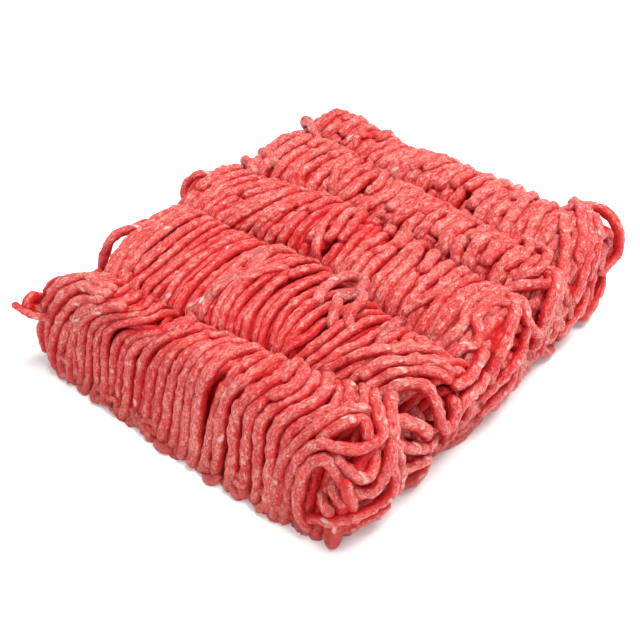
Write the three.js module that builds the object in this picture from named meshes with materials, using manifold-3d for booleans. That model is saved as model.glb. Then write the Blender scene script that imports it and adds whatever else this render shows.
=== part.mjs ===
// A block of raw minced beef: five rounded folds of parallel strands, side by side, pressed flat underneath.
// Millimetres, +Z up. +X runs along the folds, +Y across them, and the origin is the middle of the base.
import * as THREE from "three";
import { mergeVertices } from "three/addons/utils/BufferGeometryUtils.js";
import Module from "manifold-3d";

// Driving dimensions
const foldLength = 125; // along x
const blockLength = 156; // along y, over all the folds
const strandDiameter = 3.8; // a 3 to 4 mm mincer plate
const strandPitch = 4.3; // from strand to strand along a fold
const crestHeights = [33.5, 34.5, 34, 33.5, 34.5]; // top of each fold, front to back
const crestSwell = 0.9; // how far a crest rises and dips along its length
const swellLength = 11; // mm of crest for each radian of that swell
const ribHeight = 1.5; // how far a strand stands out of the core
const foldFullness = 0.85; // 1 is half an ellipse, and less is a squarer fold
const footSpread = 4.5; // how far the long faces spread out where they meet the table

// Where each crease crosses the block, as y at the left end, the middle and the right end of the folds.
// The first line is the front foot and the last one the back foot.
const creaseLines = [
  [1, -1, 0],
  [16, 22, 31],
  [64, 69, 57],
  [98, 103, 94],
  [134, 126, 117],
  [158, 155, 159],
];
// Height of the floor of each crease at the same three places
const creaseFloors = [
  [0, 0, 0],
  [30, 24, 25],
  [26, 23, 23],
  [25, 24, 24],
  [25, 24, 23],
  [0, 0, 0],
];

// How far the strands lean along the folds. A row is a place along the strand, counted in folds from
// the front foot to the back foot, and its numbers are for six lanes from the left end to the right.
const laneStations = [0, 22, 45, 70, 100, 125];
const leanPlaces = [0, 0.25, 0.5, 1, 1.5, 2, 2.5, 3, 3.5, 4, 4.5, 5];
const strandLean = [
  [6, -6, -8, -2, 4, 0], // front foot
  [5, -7, -8, -1, 1, 0], // front face
  [13, 11, 4, 1, 8, 0], // first crest
  [15, 7, 4, 4, 0, -8], // crease
  [7, 1, 0, -1, 7, -1],
  [4, -3, -1, 3, 10, 1],
  [0, 3, -3, 4, 8, 1],
  [3, 4, -2, -5, 5, 0],
  [3, 2, 3, -2, 2, -1],
  [2, -1, -5, 0, 4, -1],
  [4, 2, -2, 2, 1, 0],
  [6, 0, 2, 3, -2, 0], // back foot
];

// Strands that stand clear of the folds: loops, hooks and curls, as points from one sunk end to the other
const looseStrands = {
  cornerLoop: [[122, 46, 24], [129, 39, 30], [122, 35, 32], [117, 29, 29], [124, 22, 32], [131, 14, 32.5],
    [133, 7, 28], [129, 2, 22], [121, 1, 24], [116, -1, 18], [117, 3, 8]],
  shoulderSweep: [[126, 49, 26], [121, 39, 33], [115, 30, 28.5], [121, 20, 33], [125, 12, 33], [118, 6, 30],
    [109, 6, 25]],
  edgeSwing: [[117, 91, 28], [122, 82, 33.5], [121, 73, 33], [125, 64, 30], [130, 57, 25], [125, 52, 18]],
  edgeCrook: [[115, 105, 27], [126, 99, 31], [132, 92, 30], [134, 83, 29], [130, 78, 29], [125, 83, 31],
    [117, 89, 28]],
  backHook: [[99, 112, 28], [108, 111, 33], [114, 105, 33], [111, 100, 30], [103, 96, 25]],
  farLoop: [[107, 139, 28], [114, 149, 34], [122, 155, 32], [129, 154, 25], [130, 149, 18], [122, 145, 12]],
  farDrape: [[110, 124, 28], [122, 127, 32.5], [130, 129, 28], [132, 128, 20], [124, 126, 12]],
  sideHook: [[20, 46, 28], [11, 41, 33], [4, 35, 32], [2, 29, 29], [5, 24, 25], [13, 24, 20]],
  cornerCurl: [[18, 7, 23], [7, 1, 27], [-1, -1, 24], [-6, -2, 25]],
  endCurl: [[8, 84, 28], [-3, 80, 32.5], [-8, 75, 27], [0, 70, 18]],
  backCurl: [[12, 128, 28], [1, 134, 33], [-5, 138, 29], [4, 142, 20]],
};

// Grid of the skin
const rowsPerHalfFold = 3;
const rowsOnFace = 5; // up each long face
const ribProfile = [0, 1, 1]; // groove, left shoulder and right shoulder of each strand
const ribInCrease = 0.2; // how much of a rib is left at the bottom of a crease
const endRings = 3; // rounding of the two short ends
const endBulge = 5; // how far the short ends round outwards
const endShrink = 0.28; // how much lower the short ends get as they round over
const endNarrowing = 0.034; // and how much narrower
const endTuck = 2.5; // how far the foot of a short end draws in
const tuckHeight = 14; // height of that draw
const strandSides = 5;

// Strands on the two short ends
const archWidth = 0.78; // of its fold's width
const archDrop = 3.5; // below its fold's crest
const archFoot = 9; // height of its two feet above the base
const archPoints = 6;
const courseHeights = [3.5, 8.5]; // strands that lie along the ends below the arches
const coursePieces = 2; // strands end to end in a course
const coursePoints = 8;
const courseMargin = 5; // from a course to the block's corners
const endUnevenness = 3; // how far a course wanders

const foldCount = crestHeights.length;
const strandCount = Math.round(foldLength / strandPitch);
const centre = new THREE.Vector3(foldLength / 2, blockLength / 2, 0);

// Smooth curve through unevenly spaced values: Catmull-Rom on the piece that holds x.
function smoothThrough(stations, values, x) {
  const last = stations.length - 1;
  let i = 0;
  while (i < last - 1 && x > stations[i + 1]) i++;
  const t = THREE.MathUtils.clamp((x - stations[i]) / (stations[i + 1] - stations[i]), 0, 1);
  const before = values[Math.max(i - 1, 0)];
  const after = values[Math.min(i + 2, last)];
  const [a, b] = [values[i], values[i + 1]];
  const slopeA = (b - before) / 2;
  const slopeB = (after - a) / 2;
  const t2 = t * t;
  const t3 = t2 * t;
  return (2 * t3 - 3 * t2 + 1) * a + (t3 - 2 * t2 + t) * slopeA + (3 * t2 - 2 * t3) * b + (t3 - t2) * slopeB;
}

const creaseStations = [0, foldLength / 2, foldLength];
const creaseAt = (line, x) => smoothThrough(creaseStations, creaseLines[line], x);
const floorAt = (line, x) => smoothThrough(creaseStations, creaseFloors[line], x);

// The lean of a lane at a place along its strand.
function leanAt(lane, place) {
  const alongStrand = strandLean.map((row) => smoothThrough(laneStations, row, lane));
  return smoothThrough(leanPlaces, alongStrand, place);
}

// Where the folds end at a place, where side is -1 at the left end and 1 at the right.
function endAt(side, place) {
  const lane = side > 0 ? foldLength : 0;
  return lane + leanAt(lane, place);
}

// The place that lies at y on one of the short ends.
function placeAt(side, y) {
  const lane = side > 0 ? foldLength : 0;
  let fold = 0;
  while (fold < foldCount - 1 && y > creaseAt(fold + 1, lane)) fold++;
  const [front, back] = [creaseAt(fold, lane), creaseAt(fold + 1, lane)];
  return fold + THREE.MathUtils.clamp((y - front) / (back - front), 0, 1);
}

// A point of the core's outline at x: each fold is half an ellipse, and the outer halves of the first
// and last folds run down to the table, where they spread.
function outlineAt(x, place) {
  const fold = Math.min(Math.floor(place), foldCount - 1);
  const angle = (place - fold) * Math.PI;
  const front = creaseAt(fold, x);
  const back = creaseAt(fold + 1, x);
  const swell = crestSwell * Math.sin(x / swellLength + 1.9 * fold);
  const crest = crestHeights[fold] - ribHeight + swell;
  const firstHalf = angle < Math.PI / 2;
  const facesOut = (fold === 0 && firstHalf) || (fold === foldCount - 1 && !firstHalf);
  const floor = floorAt(firstHalf ? fold : fold + 1, x);
  const rise = Math.max(Math.sin(angle), 0) ** foldFullness;
  const spread = facesOut ? footSpread * (1 - rise) ** 4 : 0;
  const outward = firstHalf ? -1 : 1;
  return {
    y: (front + back) / 2 - ((back - front) / 2) * Math.cos(angle) + outward * spread,
    z: floor + (crest - floor) * rise,
  };
}

// The places of the skin's rows, front foot to back foot.
function rowPlaces() {
  const places = [];
  for (let fold = 0; fold < foldCount; fold++) {
    for (const half of [0, 0.5]) {
      const onFace = (fold === 0 && half === 0) || (fold === foldCount - 1 && half === 0.5);
      const rows = onFace ? rowsOnFace : rowsPerHalfFold;
      for (let i = 0; i < rows; i++) places.push(fold + half + (0.5 * i) / rows);
    }
  }
  places.push(foldCount);
  return places;
}

// One point of the ribbed skin: the outline, pushed out along its own normal by the strand's rib.
function skinPoint(lane, place, rib) {
  const x = lane + leanAt(lane, place);
  const here = outlineAt(x, place);
  const step = 0.02;
  const ahead = outlineAt(x, Math.min(place + step, foldCount - 1e-6));
  const behind = outlineAt(x, Math.max(place - step, 0));
  const along = new THREE.Vector2(ahead.y - behind.y, ahead.z - behind.z).normalize();
  const inFold = Math.sin((place % 1) * Math.PI);
  const onFace = place < 0.5 || place > foldCount - 0.5;
  const height = rib * ribHeight * (onFace ? 1 : Math.min(1, ribInCrease + 1.2 * inFold));
  const onTable = place === 0 || place === foldCount;
  const z = onTable ? 0 : Math.max(here.z + along.x * height, 0);
  return new THREE.Vector3(x, here.y - along.y * height, z);
}

// How far a short end draws in at height z, most at the table.
const tuckAt = (z) => endTuck * Math.max(0, 1 - z / tuckHeight) ** 2;

// A column of skin points that has gone part of the way round a short end, where side is -1 or 1.
function endColumn(column, side, ring) {
  const turn = (ring / endRings) * (Math.PI / 2);
  const over = 1 - Math.cos(turn);
  const middle = blockLength / 2;
  return column.map((p) => {
    const y = middle + (p.y - middle) * (1 - endNarrowing * over);
    const outward = endBulge * Math.sin(turn) - tuckAt(p.z) * over;
    return new THREE.Vector3(p.x + side * outward, y, p.z * (1 - endShrink * over));
  });
}

// The flat that closes a short end, as triangles that face outwards.
function endCap(column, side) {
  const outline = new THREE.Shape(column.map((p) => new THREE.Vector2(p.y, p.z)));
  const triangles = [];
  for (const corners of THREE.ShapeUtils.triangulateShape(outline.getPoints(), [])) {
    const [a, b, c] = corners.map((i) => column[i]);
    const facing = (b.y - a.y) * (c.z - a.z) - (b.z - a.z) * (c.y - a.y);
    triangles.push(...(facing * side < 0 ? [c, b, a] : [a, b, c]));
  }
  return triangles;
}

// The closed block: ribbed skin over the folds, rounded short ends and a flat base.
function ribbedBlock() {
  const places = rowPlaces();
  const laneSteps = strandCount * ribProfile.length;
  const columns = [];
  for (let i = 0; i <= laneSteps; i++) {
    const rib = ribProfile[i % ribProfile.length];
    columns.push(places.map((place) => skinPoint((i / laneSteps) * foldLength, place, rib)));
  }
  const [first, last] = [columns[0], columns[columns.length - 1]];
  for (let ring = 1; ring <= endRings; ring++) {
    columns.unshift(endColumn(first, -1, ring));
    columns.push(endColumn(last, 1, ring));
  }
  const rows = places.length;
  const triangles = [];
  const quad = (a, b, c, d) => triangles.push(a, b, c, a, c, d);
  for (let c = 0; c + 1 < columns.length; c++) {
    const [left, right] = [columns[c], columns[c + 1]];
    for (let r = 0; r + 1 < rows; r++) quad(left[r], right[r], right[r + 1], left[r + 1]);
    quad(left[rows - 1], right[rows - 1], right[0], left[0]);
  }
  triangles.push(...endCap(columns[0], -1), ...endCap(columns[columns.length - 1], 1));
  return new THREE.BufferGeometry().setFromPoints(triangles);
}

// A number between -0.5 and 0.5 that never repeats and never bunches: the golden ratio sequence.
const uneven = (n) => ((n * 0.618034) % 1) - 0.5;

// A strand of few sides that follows points in space.
function strandAlong(points, stepLength = 5) {
  const path = new THREE.CatmullRomCurve3(points.map((p) => new THREE.Vector3(...p)));
  const section = new THREE.Shape();
  for (let i = 0; i < strandSides; i++) {
    const turn = (i / strandSides) * 2 * Math.PI;
    const corner = [(strandDiameter / 2) * Math.cos(turn), (strandDiameter / 2) * Math.sin(turn)];
    if (i === 0) section.moveTo(...corner);
    else section.lineTo(...corner);
  }
  section.closePath();
  const steps = Math.max(3, Math.round(path.getLength() / stepLength));
  return new THREE.ExtrudeGeometry(section, { steps, extrudePath: path, bevelEnabled: false });
}

// At its two ends a fold shows as an arch of strand.
function endArch(fold, side) {
  const lane = side > 0 ? foldLength : 0;
  const front = creaseAt(fold, lane);
  const back = creaseAt(fold + 1, lane);
  const halfWidth = ((back - front) / 2) * archWidth;
  const top = crestHeights[fold] - archDrop;
  const points = [];
  for (let i = 0; i <= archPoints; i++) {
    const turn = (i / archPoints) * Math.PI;
    const off = uneven(fold * 7 + i + (side > 0 ? 0 : 11));
    const x = endAt(side, fold + i / archPoints) + side * (1.75 + 1.6 * Math.sin(turn) + 1.5 * off);
    const y = (front + back) / 2 - halfWidth * Math.cos(turn) * (1 - 0.12 * off);
    points.push([x, y, archFoot + (top - archFoot) * Math.max(Math.sin(turn), 0) ** foldFullness + off]);
  }
  return strandAlong(points);
}

// Below the arches the ends show strands lying along the block, one course above the other.
function endCourse(side, course, piece) {
  const length = (blockLength - 2 * courseMargin) / coursePieces;
  const from = courseMargin + length * piece;
  const points = [];
  for (let i = 0; i <= coursePoints; i++) {
    const off = endUnevenness * uneven(course * 13 + piece * 5 + i + (side > 0 ? 0 : 7));
    const y = from + (length * 0.97 * i) / coursePoints;
    const z = Math.max(strandDiameter / 2, courseHeights[course] + off);
    const x = endAt(side, placeAt(side, y)) + side * (endBulge * 0.8 - tuckAt(z) + off);
    points.push([x, y, z]);
  }
  return strandAlong(points, 8);
}

// Every strand that is fused to the block.
function fusedStrands() {
  const strands = Object.values(looseStrands).map((points) => strandAlong(points));
  for (const side of [-1, 1]) {
    for (let fold = 0; fold < foldCount; fold++) strands.push(endArch(fold, side));
    for (let course = 0; course < courseHeights.length; course++) {
      for (let piece = 0; piece < coursePieces; piece++) strands.push(endCourse(side, course, piece));
    }
  }
  return strands;
}

const wasm = await Module();
wasm.setup();

function solidFrom(geometry) {
  const bare = geometry.index ? geometry.toNonIndexed() : geometry.clone();
  for (const name of Object.keys(bare.attributes)) if (name !== "position") bare.deleteAttribute(name);
  const merged = mergeVertices(bare, 1e-3);
  return new wasm.Manifold(
    new wasm.Mesh({
      numProp: 3,
      vertProperties: merged.attributes.position.array,
      triVerts: new Uint32Array(merged.index.array),
    }),
  );
}

function geometryFrom(solid) {
  const { numProp, vertProperties, triVerts } = solid.getMesh();
  const positions = new Float32Array((vertProperties.length / numProp) * 3);
  for (let i = 0; i * numProp < vertProperties.length; i++) {
    positions.set(vertProperties.subarray(i * numProp, i * numProp + 3), i * 3);
  }
  const geometry = new THREE.BufferGeometry().setAttribute("position", new THREE.BufferAttribute(positions, 3));
  geometry.setIndex(new THREE.BufferAttribute(triVerts, 1));
  return geometry;
}

// A slab below the table cuts off whatever would reach under the base.
function aboveTable(solid) {
  const [reach, depth] = [3 * blockLength, 20];
  const slab = new THREE.BoxGeometry(reach, reach, depth).translate(centre.x, centre.y, -depth / 2);
  return solid.subtract(solidFrom(slab));
}

// The largest body of a solid: this fills any hollow that fusing has sealed and drops loose scraps.
function largestBody(solid) {
  return solid.decompose().reduce((best, body) => (body.volume() > best.volume() ? body : best));
}

const joined = fusedStrands().reduce((whole, strand) => whole.add(solidFrom(strand)), solidFrom(ribbedBlock()));
const block = largestBody(aboveTable(joined));

const meat = new THREE.MeshStandardMaterial({ color: 0xc8403f, roughness: 0.45, metalness: 0 });
const mince = new THREE.Mesh(geometryFrom(block), meat);
mince.name = "mince_block";
mince.position.copy(centre).negate();

const object = new THREE.Group();
object.add(mince);
export default object;
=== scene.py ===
# %% [markdown]
# # A block of raw minced beef
# A mincer presses beef through a plate of small holes, so the meat comes out as a ribbon of strands.
# The ribbon is laid down in folds, side by side, and patted into a block. This notebook dresses the
# plain solid of that block with real strands, because strands, and the dark gaps between them, are
# what makes mince look like mince.

import bpy
import numpy as np
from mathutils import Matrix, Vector


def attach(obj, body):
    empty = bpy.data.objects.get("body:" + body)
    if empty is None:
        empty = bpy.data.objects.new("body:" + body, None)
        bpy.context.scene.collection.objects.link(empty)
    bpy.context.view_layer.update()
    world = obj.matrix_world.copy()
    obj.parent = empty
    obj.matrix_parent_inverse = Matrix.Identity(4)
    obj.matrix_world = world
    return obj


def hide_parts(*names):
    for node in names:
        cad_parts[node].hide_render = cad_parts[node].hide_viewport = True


MM = 0.001
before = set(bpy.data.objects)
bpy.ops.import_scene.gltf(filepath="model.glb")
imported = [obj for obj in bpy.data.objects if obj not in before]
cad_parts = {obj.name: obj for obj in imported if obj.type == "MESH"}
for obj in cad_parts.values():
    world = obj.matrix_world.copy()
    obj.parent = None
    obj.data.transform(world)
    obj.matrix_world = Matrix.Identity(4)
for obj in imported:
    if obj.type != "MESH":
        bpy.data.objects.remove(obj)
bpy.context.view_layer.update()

# %% [markdown]
# All shapes are worked out in millimetres on the block as it was laid: x runs along the folds from 0,
# y across them from the front foot, and z up from the table. The last step of each mesh moves the
# middle of the base to the origin, where the solid has it.

# %% Measures of the block
FOLD_LENGTH = 125.0
BLOCK_LENGTH = 156.0
CENTRE = np.array([FOLD_LENGTH / 2, BLOCK_LENGTH / 2, 0.0])
STRAND = 4.2
PITCH = 4.3
RIB = 1.5
CRESTS = np.array([33.5, 34.5, 34.0, 33.5, 34.5])
FOLDS = len(CRESTS)
CREST_SWELL = 0.9
SWELL_LENGTH = 11.0
SWELL_TURN = 1.9
FULLNESS = 0.85
FOOT_SPREAD = 4.5
BACK_TUCK = 1.9
BACK_TUCK_FROM = 95.0
BACK_TUCK_OVER = 25.0
END_BULGE = 5.0
END_SHRINK = 0.28
END_TUCK = 2.5
TUCK_HEIGHT = 14.0

# The y of each crease, and the height of its floor, at three stations along the folds
STATIONS = [0.0, FOLD_LENGTH / 2, FOLD_LENGTH]
CREASES = np.array([
    [1, -1, 0],
    [16, 22, 31],
    [64, 69, 57],
    [98, 103, 94],
    [134, 126, 117],
    [158, 155, 159],
], float)
VALLEYS = np.array([
    [0, 0, 0],
    [30, 24, 25],
    [26, 23, 23],
    [25, 24, 24],
    [25, 24, 23],
    [0, 0, 0],
], float)

# How far the strands have leaned along the folds: a row for each place, a column for each lane
LANES = [0.0, 22.0, 45.0, 70.0, 100.0, 125.0]
LEAN_PLACES = [0, 0.25, 0.5, 1, 1.5, 2, 2.5, 3, 3.5, 4, 4.5, 5]
LEAN = np.array([
    [6, -6, -8, -2, 4, 0],
    [5, -7, -8, -1, 1, 0],
    [13, 11, 4, 1, 8, 0],
    [18, 7, 4, 4, 0, -8],
    [8.5, 1, 0, -1, 7, -1],
    [4, -3, -1, 3, 10, 1],
    [0, 3, -3, 4, 8, 1],
    [3, 4, -2, -5, 5, 0],
    [3, 2, 3, -2, 2, -1],
    [2, -1, -5, 0, 4, -1],
    [4, 2, -2, 2, 0, -4],
    [6, 0, 2, 3, -4, -8],
], float)

# %% [markdown]
# The creases between the folds wander over the block, and so does the lean of the strands. Both are
# given at a few stations only, and a smooth curve through those stations gives the rest. A grid of
# control points moved by hand could do the same, but here one number moves a whole stretch of meat.

# %% Smooth curves through stations


def curve_weights(stations, x):
    """Which four stations shape the curve at x, and how much each one counts.

    On the piece that holds x the curve is a cubic from one station to the next. Its slope at a
    station is half the step between the two neighbours of that station.
    """
    stations = np.asarray(stations, float)
    last = len(stations) - 1
    i = np.clip(np.searchsorted(stations, x, side="right") - 1, 0, last - 1)
    t = np.clip((x - stations[i]) / (stations[i + 1] - stations[i]), 0, 1)
    from_a = 2 * t**3 - 3 * t**2 + 1
    from_b = 3 * t**2 - 2 * t**3
    leave_a = (t**3 - 2 * t**2 + t) / 2
    reach_b = (t**3 - t**2) / 2
    weights = np.stack([-leave_a, from_a - reach_b, from_b + leave_a, reach_b], -1)
    index = np.stack([np.maximum(i - 1, 0), i, i + 1, np.minimum(i + 2, last)], -1)
    return index, weights


def row_at(table, row, x):
    """The value at x of the smooth curve through one row of a table, a row for each element of x."""
    index, weights = curve_weights(STATIONS, x)
    return (np.take_along_axis(table[row], index, -1) * weights).sum(-1)


def lean_at(lane, place):
    """How far a strand has leaned along the folds, from the table of places by lanes."""
    lane_index, lane_weights = curve_weights(LANES, lane)
    place_index, place_weights = curve_weights(LEAN_PLACES, place)
    values = LEAN[place_index[..., :, None], lane_index[..., None, :]]
    return (values * place_weights[..., :, None] * lane_weights[..., None, :]).sum((-1, -2))


# %% [markdown]
# Patted meat has a rounded skin that dips at each crease. It is a function of two parameters here: x
# along the folds, and the place, which counts folds from the front foot. Place 0 is the front foot, 0.5
# the first crest, 1 the first crease. So a strand that is laid over a fold is a line of places.

# %% The skin of the folds


def skin(x, place, past_end=0.0):
    """(y, z) of the folds' outline: each fold is half an ellipse between its creases.

    y = middle - half width * cos(angle), z = floor + (crest - floor) * sin(angle) ** fullness. On the
    two long faces the floor is the table, and the foot spreads out over it, but it is tucked in at
    the right end of the back. Past the end of the folds the outline shrinks as a quarter circle does.
    """
    place = np.clip(place, 0, FOLDS)
    fold = np.clip(np.floor(place), 0, FOLDS - 1).astype(int)
    angle = (place - fold) * np.pi
    front, back = row_at(CREASES, fold, x), row_at(CREASES, fold + 1, x)
    crest = CRESTS[fold] - RIB + CREST_SWELL * np.sin(x / SWELL_LENGTH + SWELL_TURN * fold)
    first_half = angle < np.pi / 2
    floor = np.where(first_half, row_at(VALLEYS, fold, x), row_at(VALLEYS, fold + 1, x))
    faces_out = ((fold == 0) & first_half) | ((fold == FOLDS - 1) & ~first_half)
    rise = np.maximum(np.sin(angle), 0) ** FULLNESS
    tucked = BACK_TUCK * np.clip((x - BACK_TUCK_FROM) / BACK_TUCK_OVER, 0, 1) * (fold > 0)
    spread = np.where(faces_out, FOOT_SPREAD * (1 - tucked) * (1 - rise) ** 4, 0)
    shrink = 1 - END_SHRINK * (1 - np.sqrt(np.clip(1 - (past_end / END_BULGE) ** 2, 0, 1)))
    y = (front + back) / 2 - (back - front) / 2 * np.cos(angle) + np.where(first_half, -1, 1) * spread
    return y, (floor + (crest - floor) * rise) * shrink


def skin_point(x, place, out, past_end=0.0, side=0.0):
    """The point that lies `out` mm outside the outline, and the outline's normal there.

    Past an end the normal also tilts outwards along the folds, by the arc sine of past_end / bulge.
    """
    step = 0.01
    y, z = skin(x, place, past_end)
    ahead_y, ahead_z = skin(x, np.minimum(place + step, FOLDS - 1e-6), past_end)
    behind_y, behind_z = skin(x, np.maximum(place - step, 0), past_end)
    along_y, along_z = ahead_y - behind_y, ahead_z - behind_z
    length = np.hypot(along_y, along_z) + 1e-9
    tilt = np.clip(past_end / END_BULGE, 0, 0.95) + 0 * y
    upright = np.sqrt(1 - tilt**2)
    normal = np.stack([side * tilt, -along_z / length * upright, along_y / length * upright], -1)
    return np.stack([x, y, z], -1) + normal * out[..., None], normal


# %% [markdown]
# No two strands are alike. Blender has noise for materials, and this is the same idea for shapes:
# random numbers on a lattice, blended inside each cell, give smooth unevenness at any size. A seed
# makes it the same each time.

# %% Smooth noise
LATTICE = 32


def smooth_noise(points, size, seed):
    """Noise between -1 and 1: lattice values `size` mm apart, blended by 3t^2 - 2t^3 on each axis."""
    lattice = np.random.default_rng(seed).uniform(-1, 1, (LATTICE, LATTICE, LATTICE))
    where = np.asarray(points, float) / size
    cell = np.floor(where).astype(int)
    t = where - cell
    t = t * t * (3 - 2 * t)
    total = np.zeros(where.shape[:-1])
    for corner in np.ndindex(2, 2, 2):
        weight = np.prod(np.where(corner, t, 1 - t), axis=-1)
        i, j, k = np.moveaxis((cell + corner) % LATTICE, -1, 0)
        total += weight * lattice[i, j, k]
    return total


def unit(vectors):
    """The same vectors with length 1."""
    return vectors / (np.linalg.norm(vectors, axis=-1, keepdims=True) + 1e-12)


# %% [markdown]
# Every strand is a tube carried along a path. A curve with a round bevel could make one, but it would
# be as smooth as a cable. So the tubes are arrays of strands by rings by sides, many at once, in which
# each vertex can move by itself. Each tube closes in a rounded tip at both ends, and its thickness
# swells and shrinks at three sizes, from a bulge of the strand down to single grains.

# %% Lengths and tips of many paths at once
LEAST_TIP = 0.12


def length_along(paths):
    """The distance from the start of each path to each of its points."""
    steps = np.linalg.norm(np.diff(paths[..., :3], axis=1), axis=-1)
    return np.concatenate([np.zeros((len(paths), 1)), np.cumsum(steps, 1)], 1)


def even_steps(paths, rings):
    """The same paths with their points at even distances along each one."""
    length = length_along(paths)
    result = np.empty((len(paths), rings, paths.shape[2]))
    for i, path in enumerate(paths):
        at = np.linspace(0, length[i, -1], rings)
        for axis in range(paths.shape[2]):
            result[i, :, axis] = np.interp(at, length[i], path[:, axis])
    return result


def tip_profile(paths, radius):
    """Radius factor along each path: a quarter circle over the last radius of length, else 1."""
    along = length_along(paths)
    to_end = np.minimum(along, along[:, -1:] - along)
    return np.sqrt(np.clip(1 - (1 - np.minimum(to_end / radius, 1)) ** 2, LEAST_TIP, 1))


# %% Tubes
# How wide the three sizes of lump are, in mm, and how much each one changes the radius
LUMP_SCALES = (6.0, 2.5, 1.4)
LUMPS = (0.1, 0.17, 0.18)
OUTER_CROWD = 0.45
TIP_REACH = 0.15
STRETCH = 0.6
# One strand's noise is this far from the next one's, so that no two strands share a lump
STRAND_APART = np.array([31.7, 17.3, 23.9])


def tubes(paths, outward, radius, sides, seed, squash, lumps):
    """Lumpy tubes: vertex = path + r * (cos a * sideways + squash * sin a * outward).

    The angles a stand closer together on the outer side, which is the one that shows. Returns the
    vertices as strands by rings by sides, the two tip points of each strand, the height r * sin a of
    each vertex over its path, and the vertex's own place on its strand: the length along it,
    shortened so that a pattern stretches along the strand, and r times the two direction cosines.
    """
    along = unit(np.gradient(paths, axis=1))
    sideways = unit(np.cross(along, outward))
    up = np.cross(sideways, along)
    even = np.linspace(0, 2 * np.pi, sides, endpoint=False)
    a = even + OUTER_CROWD * np.cos(even)
    direction = np.cos(a)[:, None] * sideways[:, :, None] + squash * np.sin(a)[:, None] * up[:, :, None]
    apart = np.arange(len(paths))[:, None, None, None] * STRAND_APART
    sample = paths[:, :, None] + direction * radius[..., None, None] + apart
    swell = 0
    for n, (size, scale) in enumerate(zip(lumps, LUMP_SCALES)):
        swell = swell + size * smooth_noise(sample, scale, seed + n)
    width = (radius * tip_profile(paths, radius))[..., None] * (1 + swell)
    vertices = paths[:, :, None] + direction * width[..., None]
    tip_step = np.array([-TIP_REACH, TIP_REACH])[:, None] * radius[:, [0, -1], None]
    tips = paths[:, [0, -1]] + along[:, [0, -1]] * tip_step
    length = length_along(paths)[..., None] * STRETCH + 0 * width
    own_place = np.stack([length, np.cos(a) * width, np.sin(a) * width], -1) + apart
    return vertices, tips, squash * np.sin(a) * width, own_place


def tube_faces(strands, rings, sides):
    """Quads between neighbouring rings and a fan of triangles round each tip, as vertex numbers."""
    per_strand = rings * sides + 2
    start = np.arange(strands)[:, None, None] * per_strand
    ring = np.arange(rings - 1)[None, :, None] * sides
    side = np.arange(sides)[None, None, :]
    beside = (side + 1) % sides
    quads = np.stack([start + ring + side, start + ring + beside,
                      start + ring + sides + beside, start + ring + sides + side], -1).reshape(-1, 4)
    start, side, beside = start[:, 0], side[0], beside[0]
    first = np.stack([start + side * 0 + rings * sides, start + beside, start + side], -1)
    end = start + (rings - 1) * sides
    last = np.stack([start + side * 0 + rings * sides + 1, end + side, end + beside], -1)
    return quads, np.concatenate([first.reshape(-1, 3), last.reshape(-1, 3)])


# %% [markdown]
# A finished piece is one joined mesh, which foreach_set fills in one go. Each vertex also carries
# numbers for the material: the tone of its strand, its painted shade, which grows the deeper it lies
# between the strands, and its own place on its strand. Grain and fat follow that place, so they run
# along the strands and never carry on from one strand to the next, as they would if they followed the
# block's own axes.

# %% Mesh and attributes
# Painted shade: heights over the skin, in mm, where a strand starts to be painted darker and where it is
# painted darkest
SHALLOW = 1.7
DEEPEST = -1.5
# How much of a strand's lift counts in its painted shade
LIFT_SHARE = 0.4
# Whatever sticks up past the first height, in mm, is eased down into the room above it
EASED_FROM = 34.0
EASED_ROOM = 2.2
made_triangles = {}


def beef_piece(name, parts):
    """One object from several sets of tubes: vertices, quads, triangles, and the material's numbers.

    A height above the eased one becomes: eased + room * tanh((height - eased) / room).
    """
    points, quads, triangles, numbers, start = [], [], [], [], 0
    for part in parts:
        points.append(part["points"])
        quads.append(part["quads"] + start)
        triangles.append(part["triangles"] + start)
        numbers.append(part["numbers"])
        start += len(part["points"])
    points, numbers = np.concatenate(points), np.concatenate(numbers)
    quads, triangles = np.concatenate(quads), np.concatenate(triangles)
    over = np.maximum(points[:, 2] - EASED_FROM, 0)
    points[:, 2] = np.clip(points[:, 2], 0, EASED_FROM) + EASED_ROOM * np.tanh(over / EASED_ROOM)
    mesh = bpy.data.meshes.new(name)
    mesh.vertices.add(len(points))
    mesh.vertices.foreach_set("co", ((points - CENTRE) * MM).ravel())
    mesh.loops.add(quads.size + triangles.size)
    mesh.loops.foreach_set("vertex_index", np.concatenate([quads.ravel(), triangles.ravel()]))
    mesh.polygons.add(len(quads) + len(triangles))
    starts = np.concatenate([np.arange(len(quads)) * 4, quads.size + np.arange(len(triangles)) * 3])
    mesh.polygons.foreach_set("loop_start", starts)
    mesh.update(calc_edges=True)
    mesh.shade_smooth()
    for column, label in enumerate(("tone", "gap_shade")):
        mesh.attributes.new(label, "FLOAT", "POINT").data.foreach_set("value", numbers[:, column])
    own_place = mesh.attributes.new("own_place", "FLOAT_VECTOR", "POINT")
    own_place.data.foreach_set("vector", numbers[:, 2:].ravel())
    piece = bpy.data.objects.new(name, mesh)
    bpy.context.scene.collection.objects.link(piece)
    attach(piece, "root")
    made_triangles[name] = 2 * len(quads) + len(triangles)
    print(name, made_triangles[name], "triangles")
    return piece


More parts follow.
